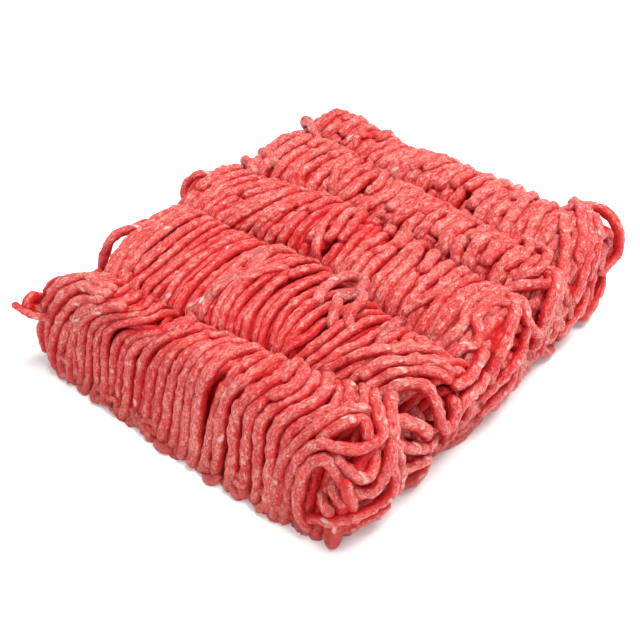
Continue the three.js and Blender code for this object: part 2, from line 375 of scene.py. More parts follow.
def strand_part(paths, outward, radius, sides, seed, lift, squash=1.0, lumps=LUMPS):
    """Tubes with their numbers. lift is how far a path lies outside the skin, so a gap has a low one.

    gap_shade = (shallow - share of lift - height over the path) / (shallow - deepest), from 0 to 1. It is
    painted shade: the flanks of each tube and the strands that lie low are painted a deeper red. Where a
    path was not laid on the skin, its lift moves nothing and only sets this painted shade.
    """
    strands, rings = paths.shape[:2]
    radius = np.broadcast_to(np.reshape(radius, (strands, -1)), (strands, rings))
    lift = np.broadcast_to(np.reshape(lift, (-1, 1)) if np.ndim(lift) == 1 else lift, (strands, rings))
    vertices, tips, over_path, own_place = tubes(paths, outward, radius, sides, seed, squash, lumps)
    tone = np.random.default_rng(seed + 2).uniform(0, 1, strands)
    shade_in_gaps = np.clip((SHALLOW - LIFT_SHARE * lift[..., None] - over_path) / (SHALLOW - DEEPEST), 0, 1)
    tones = np.broadcast_to(tone[:, None, None], shade_in_gaps.shape)
    per_vertex = np.concatenate([tones[..., None], shade_in_gaps[..., None], own_place], -1)
    per_tip = per_vertex[:, [0, -1]].mean(2)
    points = np.concatenate([vertices.reshape(strands, -1, 3), tips], 1).reshape(-1, 3)
    numbers = np.concatenate([per_vertex.reshape(strands, -1, 5), per_tip], 1).reshape(-1, 5)
    quads, triangles = tube_faces(strands, rings, sides)
    return {"points": points, "numbers": numbers, "quads": quads, "triangles": triangles}


# %% [markdown]
# ## The folds
# Each fold is laid strand by strand. A strand comes up out of the crease in front, runs over the
# fold, and dives into the crease behind, leaning as the ribbon was laid. Neighbours stay side by side,
# because most of the wander is a smooth field that they share. Where the field squeezes them, every
# second strand rides up over its neighbours, and where one has torn, it thins out and steps aside.
# Ribs drawn by a displacement could look like this from above, but not where strands part and cross.

# %% How the strands are spread over a fold
PARTING_FADE = 9.0
PARTING_POINT = 0.7
LANE_JITTER = 0.4
# A parting: its lane, the places where it starts and ends, and half its width in mm
PARTINGS = [
    (78, 0.06, 0.44, 1.2),
    (33, 1.02, 1.3, 1.3),
    (93, 1.35, 1.75, 1.2),
    (59, 2.05, 2.4, 1.4),
    (28, 3.12, 3.42, 0.9),
]

# How fine the strands of each fold are at the lane stations, as a share of the pitch
FINENESS = np.array([
    [0.80, 0.75, 0.74, 0.84, 0.95, 0.95],
    [0.88, 0.78, 0.68, 0.68, 0.76, 0.86],
    [0.95, 0.88, 0.80, 0.86, 1.00, 1.02],
    [1.00, 0.98, 1.00, 1.06, 1.10, 1.08],
    [1.05, 1.05, 1.08, 1.12, 1.12, 1.08],
])


def fineness_at(fold, lane):
    """The strands' share of the pitch at a lane, by straight lines between the stations."""
    return np.interp(lane, LANES, FINENESS[fold])


def lane_places(first, last, fold, seed):
    """Lanes from first to last, one fine pitch apart, each a little off its place."""
    fine = np.linspace(first, last, 500)
    count = np.concatenate([[0], np.cumsum(np.diff(fine) / (PITCH * fineness_at(fold, fine[1:])))])
    lanes = np.interp(np.arange(int(count[-1]) + 1), count, fine)
    return lanes + np.random.default_rng(seed).uniform(-LANE_JITTER, LANE_JITTER, len(lanes))


def parted(lane, place):
    """Pushes the strands on both sides of a parting away from it, less with distance from it."""
    shift = 0
    for middle, start, end, half_width in PARTINGS:
        window = np.clip((place - start) / (end - start), 0, 1)
        off = lane - middle
        push = half_width * np.sin(np.pi * window) ** PARTING_POINT * np.sign(off)
        shift = shift + push * np.exp(-np.abs(off) / PARTING_FADE)
    return shift


# %% Crowding and tears
TEAR_SHARE = 0.4
TEAR_PLACES = (0.2, 0.8)
TEAR_STEP = 3.0
TEAR_LENGTH = 0.9
TEAR_THINNING = 0.75
STRAND_LENGTH = 60.0


def room_beside(points):
    """Each strand's distance to its nearer neighbour, measured square to its own direction."""
    along = unit(np.gradient(points, axis=1))[:-1]
    step = np.diff(points, axis=0)
    gap = np.linalg.norm(step - (step * along).sum(-1, keepdims=True) * along, axis=-1)
    return np.minimum(np.concatenate([gap[:1], gap]), np.concatenate([gap, gap[-1:]]))


def tears(count, steps, seed):
    """Where strands have torn: a number that steps from -1 to 1 over each tear, and the thinning there.

    The step is a hyperbolic tangent along the strand, and the thinning a bell curve round the tear.
    """
    rng = np.random.default_rng(seed)
    u = np.linspace(0, 1, steps)[None, :]
    torn = rng.uniform(0, 1, (count, 1)) < TEAR_SHARE
    off = (u - rng.uniform(*TEAR_PLACES, (count, 1))) * STRAND_LENGTH
    thinning = TEAR_THINNING * np.exp(-((off / TEAR_LENGTH) ** 2))
    return np.where(torn, np.tanh(off / TEAR_STEP), 0), np.where(torn, thinning, 0)


# %% Paths over the folds
FINE_STEPS = 150
SINK = -0.6
RIDE_UP = 1.9
RIDE_DOWN = 0.6
MOST_CROWDED = 0.55
FREE_WIDTH = 1.12
SQUEEZE = 0.45
WIDTH_RANGE = (0.85, 1.1)
RAGGED_FOOT = 0.012
RAGGED_POWER = 1.5
CREASE_DIP = 1.2

# How far apart in the noise, in mm, a fold is from the next one, and a strand from the next one
FOLD_APART = 30
LANE_APART = 9.7
OWN_LEVEL = 50

# The strands are less orderly towards the back left, and calmer on the long faces and past the ends
DISORDER = 0.7
DISORDER_PLACE = 2.6
DISORDER_LANE = 75
DISORDER_FADE = 30
FACE_PLACES = 0.45
FACE_CALM = 0.45
END_CALM = 0.5

# Each kind of unevenness: how strong it is and how wide its waves are, in mm
LONG_WANDER = (2.3, 14)
SHORT_WANDER = (0.9, 7)
OWN_LIFT = (0.45, 10)
SHARED_LIFT = (0.6, 16)
OWN_WANDER, OWN_LENGTH = 0.55, 8
TEAR_ASIDE = 0.7
TEAR_LIFT = 0.5

# At the two front corners the strands lie lower, because there the listed strands lie over them, and lying
# lower also paints them with more shade
HAND_LAID_OVER = 1.6
LEFT_LANE, LEFT_FADE = 18, 6
RIGHT_LANE, RIGHT_FADE, RIGHT_SHARE = 105, 5, 1.6
CORNER_PLACE, CORNER_FADE = 0.62, 0.1


def uneven(points, kind, seed):
    """Smooth noise of one kind, which gives its strength and the width of its waves."""
    strength, size = kind
    return strength * smooth_noise(points, size, seed)


def below_hand_laid(lane, place):
    """How much lower strands lie at the front corners: clipped ramps over the lane and the place."""
    at_right = np.clip((lane - RIGHT_LANE) / RIGHT_FADE, 0, 1)
    corner = np.clip((LEFT_LANE - lane) / LEFT_FADE, 0, 1) + RIGHT_SHARE * at_right
    return HAND_LAID_OVER * corner * np.clip((CORNER_PLACE - place) / CORNER_FADE, 0, 1)


def fold_paths(lanes, start, end, fineness, seed, sink):
    """Points, normals, lift and width factor of the strands from place start to place end.

    x = lane + lean + parting + wander, and the point lies `lift` mm outside the skin at x and place.
    """
    u = np.linspace(0, 1, FINE_STEPS)[None, :]
    ragged = RAGGED_FOOT * np.random.default_rng(seed + 8).uniform(0, 1, (len(lanes), 1)) ** RAGGED_POWER
    begin = start + ragged * (start == 0)
    place = begin + (end - ragged * (end == FOLDS) - begin) * u
    lane = lanes[:, None] + 0 * u
    inside = np.clip(lane, 0, FOLD_LENGTH)
    past_end, side = np.abs(lane - inside), np.sign(lane - inside)
    shared = np.stack([lane, place * FOLD_APART, 0 * lane], -1)
    apart = np.arange(len(lanes))[:, None] * LANE_APART + 0 * u
    own = np.stack([apart, place * FOLD_APART, 0 * lane + OWN_LEVEL], -1)
    on_face = np.clip(1 - place / FACE_PLACES, 0, 1) + np.clip(1 - (FOLDS - place) / FACE_PLACES, 0, 1)
    back_left = np.clip((DISORDER_LANE - lane) / DISORDER_FADE, 0, 1)
    disorder = 1 + DISORDER * np.clip(place - DISORDER_PLACE, 0, 1) * back_left
    strength = disorder * (1 - FACE_CALM * on_face) * (1 - END_CALM * np.minimum(past_end / 2, 1))
    wander = uneven(shared, LONG_WANDER, seed) + uneven(shared, SHORT_WANDER, seed + 5)
    step, thinning = tears(len(lanes), FINE_STEPS, seed + 6)
    x = inside + lean_at(inside, place) + parted(lane, place) + strength * wander + side * past_end
    x = x + OWN_WANDER * disorder * smooth_noise(own, OWN_LENGTH, seed + 1)
    x = x + TEAR_ASIDE * step * (1 - np.abs(2 * u - 1))
    place = np.clip(place, start + 1e-4, end - 1e-4)
    flat, normal = skin_point(x, place, 0 * x, past_end, side)
    crowded = np.clip(1 - room_beside(flat) / (PITCH * fineness[:, None]), 0, MOST_CROWDED)
    every_second = np.where(np.arange(len(lanes)) % 2, 1.0, -RIDE_DOWN)[:, None]
    in_fold = np.clip(np.sin(np.mod(place, 1) * np.pi), 0, 1)
    lift = sink + RIDE_UP * crowded * every_second + uneven(own, OWN_LIFT, seed + 2)
    lift = lift + uneven(shared, SHARED_LIFT, seed + 3) + TEAR_LIFT * step
    lift = lift - CREASE_DIP * (1 - in_fold) ** 4 * (on_face <= 0)
    lift = lift - below_hand_laid(lane, place)
    width = (1 - thinning) * np.clip(FREE_WIDTH - SQUEEZE * crowded, *WIDTH_RANGE)
    return flat + normal * lift[..., None], normal, lift, width


# %% Tubes over the folds
DIVE = 6.0
DIVE_RINGS = 6
DIVE_START = 0.15
# A dive's lift falls by this share of how far it has gone down, which only paints it with shade
DIVE_SHADE_SHARE = 0.6


def with_dives(points, normal, lift, width, at_start, at_end):
    """Adds a straight run down into the crease at the ends that meet one. Its lift falls along the run, which
    only paints it with more shade the deeper it goes.
    """
    ramp = np.linspace(1, DIVE_START, DIVE_RINGS)
    steps = ramp[None, :, None] * DIVE * np.array([0, 0, -1.0])
    gap_shade = ramp[None, :] * DIVE * DIVE_SHADE_SHARE
    if at_start:
        points = np.concatenate([points[:, :1] + steps, points], 1)
        lift = np.concatenate([lift[:, :1] - gap_shade, lift], 1)
        normal = np.concatenate([np.repeat(normal[:, :1], DIVE_RINGS, 1), normal], 1)
        width = np.concatenate([np.repeat(width[:, :1], DIVE_RINGS, 1), width], 1)
    if at_end:
        points = np.concatenate([points, points[:, -1:] + steps[:, ::-1]], 1)
        lift = np.concatenate([lift, lift[:, -1:] - gap_shade[:, ::-1]], 1)
        normal = np.concatenate([normal, np.repeat(normal[:, -1:], DIVE_RINGS, 1)], 1)
        width = np.concatenate([width, np.repeat(width[:, -1:], DIVE_RINGS, 1)], 1)
    return points, normal, lift, width


def laid_strands(lanes, start, end, seed, sink=SINK, rings=104, sides=15):
    """The tubes of the strands that run over the skin from place start to place end."""
    fineness = fineness_at(start, lanes)
    laid = with_dives(*fold_paths(lanes, start, end, fineness, seed, sink), start > 0, end < FOLDS)
    packed = even_steps(np.concatenate([laid[0], laid[1], laid[2][..., None], laid[3][..., None]], -1), rings)
    paths, normal, lift, width = packed[..., :3], unit(packed[..., 3:6]), packed[..., 6], packed[..., 7]
    thickness = fineness[:, None] * np.random.default_rng(seed + 7).uniform(0.9, 1.1, (len(lanes), 1))
    return strand_part(paths, normal, STRAND / 2 * thickness * width, sides, seed, lift)


# %% [markdown]
# At the left the first two folds run into each other without a crease, so there the strands are laid
# over both at once.

# %% Strands over the folds
FLOW_WIDTH = 44.0
LANE_MARGIN = 3.6
FLOW_MARGIN = 1.0
FLOW_GAP = 3.8
flow_lanes = lane_places(-FLOW_MARGIN, FLOW_WIDTH, 0, 90)
beef_piece("left_flow_strands", [laid_strands(flow_lanes, 0, 2, 190, rings=190)])
for fold in range(FOLDS):
    first = flow_lanes[-1] + FLOW_GAP if fold < 2 else -LANE_MARGIN
    lanes = lane_places(first, FOLD_LENGTH + LANE_MARGIN, fold, 100 + fold)
    beef_piece(f"fold_{fold + 1}_strands", [laid_strands(lanes, fold, fold + 1, 200 + 20 * fold)])

# %% [markdown]
# Where two strands part, the strands below show. A second layer lies under the first one. So little
# of it is seen that its tubes have fewer rings and sides.

# %% Strands below the folds
UNDER_SINK = -2.5
under = []
for fold in range(FOLDS):
    lanes = lane_places(-1.5, FOLD_LENGTH + 2, fold, 400 + fold)
    under.append(laid_strands(lanes, fold, fold + 1, 500 + 20 * fold, UNDER_SINK, rings=34, sides=8))
beef_piece("under_strands", under)

# %% [markdown]
# Here and there a strand has slipped over its neighbours. It lies across them at a slant, and both
# its ends go down between them. Without these the rows would look combed.

# %% Strands that slipped
SLIPPED = 24
SLIPPED_LIFT = 1.0
SLIPPED_DROP = 3.6
SLIPPED_LEVEL = 9
SLIPPED_FROM_LANE = 50
rng = np.random.default_rng(77)
t = np.linspace(-1, 1, 60)[None, :]
middle_place = np.sort(rng.uniform(0.5, FOLDS - 0.4, SLIPPED))[:, None]
middle_place = np.floor(middle_place) + np.clip(np.mod(middle_place, 1), 0.3, 0.7)
middle_lane = rng.uniform(8, FOLD_LENGTH - 10, SLIPPED)[:, None]
middle_lane = np.where(middle_place < 2, np.maximum(middle_lane, SLIPPED_FROM_LANE), middle_lane)
slant = rng.uniform(-5.5, 5.5, SLIPPED)[:, None]
reach = rng.uniform(0.14, 0.24, SLIPPED)[:, None]
lane, place = middle_lane + slant * t, middle_place + reach * t
wave = uneven(np.stack([lane, place * FOLD_APART, 0 * lane + SLIPPED_LEVEL], -1), SHORT_WANDER, 81)
lift = SLIPPED_LIFT - SLIPPED_DROP * t**4 + 0 * lane
points, normal = skin_point(lane + lean_at(lane, place) + wave, place, lift)
packed = even_steps(np.concatenate([points, normal, lift[..., None]], -1), 56)
radius = rng.uniform(1.6, 1.95, SLIPPED)
slipped = strand_part(packed[..., :3], unit(packed[..., 3:6]), radius, 13, 83, packed[..., 6])
beef_piece("slipped_strands", [slipped])

# %% [markdown]
# ## The two short ends
# At its ends a fold is cut across. It shows as nested arches of strand, with loops that hang down in
# front of them, and lowest of all strands that lie along the block, one course above the other. Each
# kind has a formula of its own, and all of them lie on one face, which gives x at any y and z.

# %% The face of a short end
FOOT_PLACE = 0.1
FOOT_HEIGHT = 30
RIGHT_FOOT_ENDS = 30
LEFT_FOOT_ENDS = 62.0
LEFT_FOOT_FADE = 20
FAR_TUCK = 3.0
FAR_TUCK_FROM = 110
FAR_TUCK_OVER = 30
FAR_TUCK_HEIGHT = 25
HOLLOW_DEPTH = 3.0
HOLLOW_PLACE = 32.0
HOLLOW_WIDTH = 7.0


def end_at(side, place):
    """Where the folds end at a place along the block."""
    lane = (FOLD_LENGTH if side > 0 else 0.0) + 0 * place
    return lane + lean_at(lane, place)


def place_at(side, y):
    """The place that lies at y on a short end, counted in folds."""
    end = np.array(FOLD_LENGTH if side > 0 else 0.0)
    lines = np.array([row_at(CREASES, np.array(row), end) for row in range(FOLDS + 1)])
    return np.interp(y, lines, np.arange(FOLDS + 1))


def hollow(side, y):
    """How far the left end is drawn in behind its hook: a bell curve over y."""
    return HOLLOW_DEPTH * np.exp(-(((y - HOLLOW_PLACE) / HOLLOW_WIDTH) ** 2)) * (side < 0)


def end_face(side, y, z):
    """x of a short end at y and z: the end of the folds at y, blended to that of the foot near z = 0.

    It is drawn in by the square of the height below the tuck, and at the back of the right end.
    """
    at_place = end_at(side, place_at(side, y))
    if side > 0:
        near_front = np.clip(1 - y / RIGHT_FOOT_ENDS, 0, 1)
    else:
        near_front = np.clip((LEFT_FOOT_ENDS - y) / LEFT_FOOT_FADE, 0, 1)
    toward_foot = np.clip(1 - z / FOOT_HEIGHT, 0, 1) * near_front
    drawn_in = END_TUCK * np.maximum(0, 1 - z / TUCK_HEIGHT) ** 2 + hollow(side, y)
    far = np.clip((y - FAR_TUCK_FROM) / FAR_TUCK_OVER, 0, 1)
    drawn_in = drawn_in + FAR_TUCK * far * np.clip(1 - z / FAR_TUCK_HEIGHT, 0, 1) * (side > 0)
    return at_place + (end_at(side, FOOT_PLACE + 0 * y) - at_place) * toward_foot - side * drawn_in


def wobble(points, seed, size=9.0):
    """A smooth random shift of points, in mm on each axis for a strength of 1."""
    return np.stack([smooth_noise(points, size, seed + axis) for axis in range(3)], -1)


# %% Arches, hanging loops and courses
ARCH_FOOT = 6.0
ARCH_WIDTH, ARCH_NARROWER = 0.84, 0.27
ARCH_SINK, ARCH_LOWER = 3.6, 4.6
ARCH_OUT, ARCH_FURTHER, ARCH_BOW = 2.2, 0.5, 1.2
ARCH_WOBBLE = 1.3
HANGING = 17
HANGING_SLANT = 0.3
HANGING_WOBBLE = 1.5
COURSE_PIECES = 4
COURSE_MARGIN = 3
COURSE_STAGGER = 0.3
COURSE_CLOSED = 0.98
COURSE_RISE, COURSE_BOW = (2.0, 8), (1.5, 9)
COURSE_HEIGHTS = (2.0, 5.4, 9.2, 13.2, 17.5)


def arch_paths(side, ring):
    """An arch on each fold: y follows a cosine and z a sine, between the fold's own creases."""
    lane = FOLD_LENGTH if side > 0 else 0.0
    folds = np.arange(FOLDS)
    front = row_at(CREASES, folds, lane + 0.0 * folds)
    back = row_at(CREASES, folds + 1, lane + 0.0 * folds)
    turn = np.linspace(0, np.pi, 60)[None, :]
    half_width = ((back - front) / 2 * (ARCH_WIDTH - ARCH_NARROWER * ring))[:, None]
    top = (CRESTS - ARCH_SINK - ARCH_LOWER * ring)[:, None]
    y = ((front + back) / 2)[:, None] - half_width * np.cos(turn)
    z = ARCH_FOOT + (top - ARCH_FOOT) * np.maximum(np.sin(turn), 0) ** FULLNESS
    outwards = ARCH_OUT + ARCH_FURTHER * ring + ARCH_BOW * np.sin(turn) - hollow(side, y)
    points = np.stack([end_at(side, folds[:, None] + turn / np.pi) + side * outwards, y, z], -1)
    return points + ARCH_WOBBLE * wobble(points + np.array([0, 0, 77.0 * ring + 40 * side]), 30)


def hanging_paths(side):
    """Loops that hang from the edge: y follows a cosine, z drops by the root of a sine, and both slant."""
    rng = np.random.default_rng(640 + side)
    turn = np.linspace(0, np.pi, 60)[None, :]
    middle = (np.linspace(7, BLOCK_LENGTH - 8, HANGING) + rng.uniform(-1.5, 1.5, HANGING))[:, None]
    half_width = rng.uniform(2.4, 4.2, HANGING)[:, None]
    top = rng.uniform(23, 27, HANGING)[:, None]
    bottom = rng.uniform(4, 13, HANGING)[:, None]
    z = top - (top - bottom) * np.sqrt(np.maximum(np.sin(turn), 0))
    y = middle - half_width * np.cos(turn) + HANGING_SLANT * (top - z) - 2
    outwards = END_BULGE * 0.8 + rng.uniform(-0.8, 1.0, HANGING)[:, None] + 0 * y
    points = np.stack([end_face(side, y, z) + side * outwards, y, z], -1)
    return points + HANGING_WOBBLE * wobble(points + 60 * side, 50, 8.0)


def course_paths(side):
    """Strands along the block on its short end, wandering up and down and in and out."""
    paths = []
    run = BLOCK_LENGTH - 2 * COURSE_MARGIN
    for row, height in enumerate(COURSE_HEIGHTS):
        for piece in range(COURSE_PIECES):
            first = COURSE_MARGIN + run * (piece + COURSE_STAGGER * (row % 2)) / COURSE_PIECES
            last = min(first + run / COURSE_PIECES * COURSE_CLOSED, BLOCK_LENGTH - 2)
            y = np.linspace(first, last, 60)
            sample = np.stack([y, 0 * y + 13 * row, 0 * y + 7 * piece + 90 * side], -1)
            z = np.maximum(height + uneven(sample, COURSE_RISE, 62), STRAND * 0.4)
            outwards = END_BULGE * 0.65 + uneven(sample, COURSE_BOW, 61)
            paths.append(np.stack([end_face(side, y, z) + side * outwards, y, z], -1))
    return np.array(paths)


def end_part(side, paths, rings, sides, seed, lift):
    """Tubes on a short end, where outwards is along the folds and a little up."""
    paths = even_steps(paths, rings)
    outward = np.broadcast_to(np.array([side, 0.0, 0.3]), paths.shape)
    radius = STRAND / 2 * np.random.default_rng(seed).uniform(0.82, 1.08, len(paths))
    return strand_part(paths, outward, radius, sides, seed + 1, np.full(len(paths), lift))


# %% Strands at the short ends
ARCH_RINGS = 3
# On the ends a lift moves no strand: it only sets the painted shade, and a lower lift paints a deeper red
ARCH_SHADE_LIFT = -0.6
RING_SHADE_LIFT = -0.5
COURSE_SHADE_LIFT = -0.3
# On the right the listed strands lie in front, so the strands behind them get more painted shade, a deeper
# red
RIGHT_SHADE = 1.8
for side, name in ((-1, "left_end_strands"), (1, "right_end_strands")):
    shade = RIGHT_SHADE * (side > 0)
    parts = []
    for ring in range(ARCH_RINGS):
        lift = ARCH_SHADE_LIFT - shade + RING_SHADE_LIFT * ring
        parts.append(end_part(side, arch_paths(side, ring), 56, 11, 710 + 9 * ring + side, lift))
    parts.append(end_part(side, hanging_paths(side), 50, 11, 740 + side, -shade / 2))
    parts.append(end_part(side, course_paths(side), 44, 10, 760 + side, COURSE_SHADE_LIFT - shade / 2))
    beef_piece(name, parts)

# %% [markdown]
# ## Strands given point by point
# At the right the folds turn over, and single strands hook, loop and hang over the edge. No formula
# gives these, so each one is a short list of points, in mm in the frame of the folds, and a smooth
# curve through them. It is what laying a spline by hand does, with the points written down.

# %% Hooks, loops and curls
CORNER_STRANDS = [
    [(113, 33, 27), (121, 23, 33), (127, 17, 34), (130, 14, 32.5), (128, 9, 31), (122, 6, 29.5),
     (116, 5, 27.5), (112, 2, 22), (110, 1, 15), (110, 0, 9), (111, -3, 2)],
    [(118, 35, 28), (124, 26, 33), (129, 20, 33), (132, 16, 29), (133, 13, 24), (132.5, 9, 18.5),
     (130, 4.5, 19), (126, 3, 22.5), (121.5, 3.5, 25.5), (117.5, 3, 24.5), (114.5, 0.5, 19),
     (114, -1, 12), (115, -2, 6), (120, -2, 3)],
    [(115, 6, 27), (118, 8.5, 31.5), (121, 12, 34), (123.5, 14, 34.5), (126, 13, 34), (128, 11, 31)],
    [(108, -5, 1), (107, -2, 6), (106, -0.5, 13), (107, 1, 19.5), (110, 3.5, 25), (113, 7, 30),
     (116, 11, 33.5), (118, 15, 34.5), (121, 18, 34), (123, 18, 31)],
    [(120, 7, 27), (125, 4.5, 26.5), (129, 5, 24.5), (131.5, 7, 24.5), (131.5, 10, 27), (128, 13, 29)],
    [(121, 5, 18), (125, 2, 17), (129, 1.5, 15)],
    [(119, 3, 14), (122, 0.5, 12.5), (124.5, 1, 10)],
    [(115, -1, 3), (120, -1, 6.5), (125, 0, 9), (129, 2, 11), (132, 5, 12.5), (133, 9, 13)],
    [(130, 17, 23), (133, 17, 16), (133, 14, 12), (131, 10, 10)],
    [(132, 16, 8), (131, 10, 6), (127, 4, 4.5), (122, 1, 2.5)],
    [(116, 27, 27), (121, 31.5, 33), (125, 35, 34.3), (129, 36, 33), (132, 36.5, 28), (133, 38, 22),
     (133, 41, 18.5), (133, 44, 21), (131, 45, 27)],
    [(124, 20, 30), (130, 26, 29.5), (132, 30, 25.5), (132, 33, 20)],
    [(128, 19, 28), (131, 22, 24), (132, 27, 20), (132.5, 32, 17), (132, 37, 17)],
    [(131, 19, 27), (132.5, 19.5, 20), (132.5, 20, 14), (131, 19, 8)],
    [(130, 21, 16), (132.5, 27, 14), (132.5, 34, 12)],
    [(125, 24, 4), (128.5, 29, 2.6), (129.5, 34, 3), (129.5, 38, 7)],
    [(102, 33, 31), (108, 39, 34.3), (114, 45, 34.5), (119, 51, 33.5), (122, 55, 29)],
    [(109, 31, 30), (114, 37, 34.3), (119, 43, 34.5), (124, 46.5, 34), (128, 49, 30)],
    [(113, 29, 29), (118, 35, 34), (122.5, 40, 34.5), (127, 43, 34), (130.5, 45, 31)],
]
EDGE_STRANDS = [
    [(115, 56, 26), (119, 62, 31), (119.5, 67, 33.5), (117, 71, 34.3), (115.5, 76, 34.3),
     (117, 82, 34.3), (121, 87, 32)],
    [(120, 52, 26), (123.5, 59, 30.5), (126.5, 63, 31.5), (125, 67, 33.5), (121.5, 70, 34.3),
     (120, 76, 34.5), (121, 81, 34.5), (125, 83, 34), (128, 80, 32)],
    [(121, 89, 31), (125, 85, 34), (128.5, 80, 33.5), (130.5, 75, 32), (131.5, 70, 30), (132, 66, 26),
     (132, 62, 20)],
    [(126, 69, 30), (129.5, 62, 30), (131, 56, 29), (131.5, 50, 28.5), (130, 46, 29)],
    [(131, 63, 23), (132.5, 57, 22.5), (133, 51, 24), (133, 47, 22), (132, 43, 17)],
    [(121, 91, 30), (127, 87, 33.5), (131, 84, 31.5), (132.5, 86, 26.5), (133, 90, 23.5),
     (132.5, 95, 25), (131.5, 98, 28), (130.5, 101, 31.5), (128, 104, 33.5), (123, 107, 32)],
    [(116, 87, 31), (120, 94, 32), (124, 98, 32.5), (127, 101, 33), (126, 106, 33)],
    [(131, 84, 29), (132.5, 80, 22), (133, 74, 20), (132.5, 68, 18), (132, 59, 17)],
    [(130, 82, 16), (132, 76, 12), (132.5, 69, 11), (131.5, 60, 9)],
    [(124, 55, 7), (126.5, 58, 4.5), (128.5, 61, 3), (129, 65, 2.3)],
    [(125, 97, 12), (127, 101, 7), (128, 105, 4), (128, 110, 2.5)],
    [(103, 113, 29), (107, 119, 31.5), (111, 117, 33), (114, 109, 34.3), (113, 103, 33.5),
     (110, 98, 30)],
    [(111, 122, 28), (117, 118, 32), (121, 110, 34.3), (121.5, 104, 33.5), (117, 98, 31)],
    [(122, 109, 31), (127.5, 106, 34), (130.5, 101, 32.5), (131.5, 96, 29), (132, 92, 24),
     (132, 87, 18)],
    [(111, 139, 33), (115, 132, 34.5), (119.5, 125, 33.5), (123, 119, 31.5), (126, 113, 32.5),
     (129, 107, 31.5), (130.5, 102, 27)],
    [(106, 153, 30), (112, 147, 34.3), (117, 140, 34.5), (121, 133, 34), (124.5, 127, 33),
     (127, 121, 29)],
    [(110, 152, 30), (115.5, 146, 34.3), (120, 139, 34.5), (124, 132, 33.5), (127.5, 126, 31),
     (129.5, 120, 25), (129.5, 115, 18)],
    [(107, 143, 31), (112, 147.5, 34), (117, 150, 34.3), (122, 150, 33), (125.5, 149.5, 30),
     (127.3, 150, 25.5), (127.5, 149, 20.5), (126.5, 145.5, 17), (124.5, 142, 14)],
    [(116, 146, 32), (120.5, 143, 34), (124.5, 138, 32), (127, 133, 27), (128, 128, 20)],
    [(127, 131, 16), (129.5, 124, 12), (129.5, 117, 10), (129, 110, 9)],
    [(123, 149, 12), (126.5, 143, 8), (128, 135, 5), (128, 128, 4)],
]
LOOSE_STRANDS = [
    [(117, 91, 28), (122, 82, 33), (121, 73, 33), (125, 64, 30), (130, 57, 25), (125, 52, 18)],
    [(16, 44, 31), (9, 41, 33.5), (5.5, 37, 33.5), (4, 32.6, 33), (3.5, 29.6, 31), (3, 27.4, 27.4),
     (3, 26, 24.4), (3.5, 26.2, 21.6)],
    [(8, 8, 18), (3, 5.6, 18.5), (-0.5, 3.6, 19), (-1.6, 2.6, 21), (-1.6, 0.6, 22.9),
     (-1.3, -1.2, 21.8), (-0.8, -0.6, 20), (1, 0.8, 19), (6, 2.5, 17)],
    [(7, 0, 18.5), (3, -2.8, 19), (0, -4.2, 20), (-2.5, -5.4, 21.8), (-3.4, -6, 22.8)],
    [(8, 84, 28), (-3, 80, 32.5), (-8, 75, 27), (0, 70, 18)],
    [(12, 128, 28), (1, 134, 33), (-5, 138, 29), (4, 142, 20)],
    [(8, 96, 29), (2, 98, 32), (-1.5, 100, 30), (-1, 103, 26)],
    [(10, 105, 30), (4, 106, 32.5), (0.5, 108, 31), (1, 111, 26)],
    [(108, 150, 31), (114, 147.5, 33), (119, 143.5, 33), (123, 139, 31), (126, 134, 27)],
    [(79, 46, 32), (77, 54, 34.3), (78, 62, 34.3), (82, 65, 33.5), (85.5, 61, 33.5), (85, 55, 34.3),
     (83, 51, 33)],
    [(89, 42, 31), (86, 48, 34), (84, 53, 34.3), (87, 58, 34), (90, 55, 34.3), (91, 49, 34),
     (94, 44, 31)],
]
# The loose strands' widths as shares of a strand, in the order of their list
LOOSE_SIZES = [0.9, 0.85, 1.0, 0.6] + [0.9] * 7
# Loose strands ride over the rest, so their lift paints them with less shade
LOOSE_SHADE_LIFT = 3.0
HAND_SIZE = 0.88
EDGE_SIZE = 0.9
LEFT_CORNER_STRANDS = [
    [(27, 13, 32.5), (26, 10, 33.4), (22, 10, 33.6), (17, 10, 33.6), (14, 8, 33.2), (11, 6, 31.5),
     (8, 4, 28.5), (5.5, 3, 24.5), (3, 2, 19.5), (1.5, 1, 14), (1.5, 0, 9), (4, -1.5, 4)],
    [(30, 9, 33.4), (26, 7, 33), (21, 7, 33), (17, 6, 32), (14, 4, 29.5), (10.5, 3, 25.5),
     (7, 2, 20.5), (5, 1.5, 15), (4.5, 0.5, 10), (6, -1, 5.5), (9, -2.5, 2)],
    [(29, 7, 32.5), (25, 5, 31.5), (21, 4, 30), (17.5, 3, 27.5), (14, 2, 23.5), (11, 1, 18.5),
     (8.5, 0.5, 13), (7.5, -0.5, 8), (9, -2, 4), (12, -3.5, 1.8)],
    [(28, 5, 30.5), (24, 3.5, 28.5), (21, 2.5, 25.5), (17.5, 1.5, 21.4), (14.5, 0.5, 16.1),
     (12, 0, 10.2), (12, -1.5, 5), (15, -3.5, 2)],
    [(38, 8, 33), (34, 6.5, 32.4), (30, 5, 30.6), (26.5, 3.5, 28), (23, 2.5, 24.6), (20, 1.5, 20.3),
     (18, 0.5, 15.1), (16.5, -0.5, 9.7), (17, -2, 5), (20, -4, 2)],
    [(6, 12, 24), (3, 10, 19), (1.5, 8.5, 13), (2, 7, 7), (4, 5, 2.5)],
    [(7, 18, 25), (3.5, 15.5, 20), (1.5, 13.5, 14), (1.5, 11.5, 8), (3, 10, 3)],
    [(5, 24, 24), (2, 21, 19), (0.5, 19, 13), (1, 17, 7)],
]

# %% Strands through lists of points
HIGHEST_PATH = 34.2
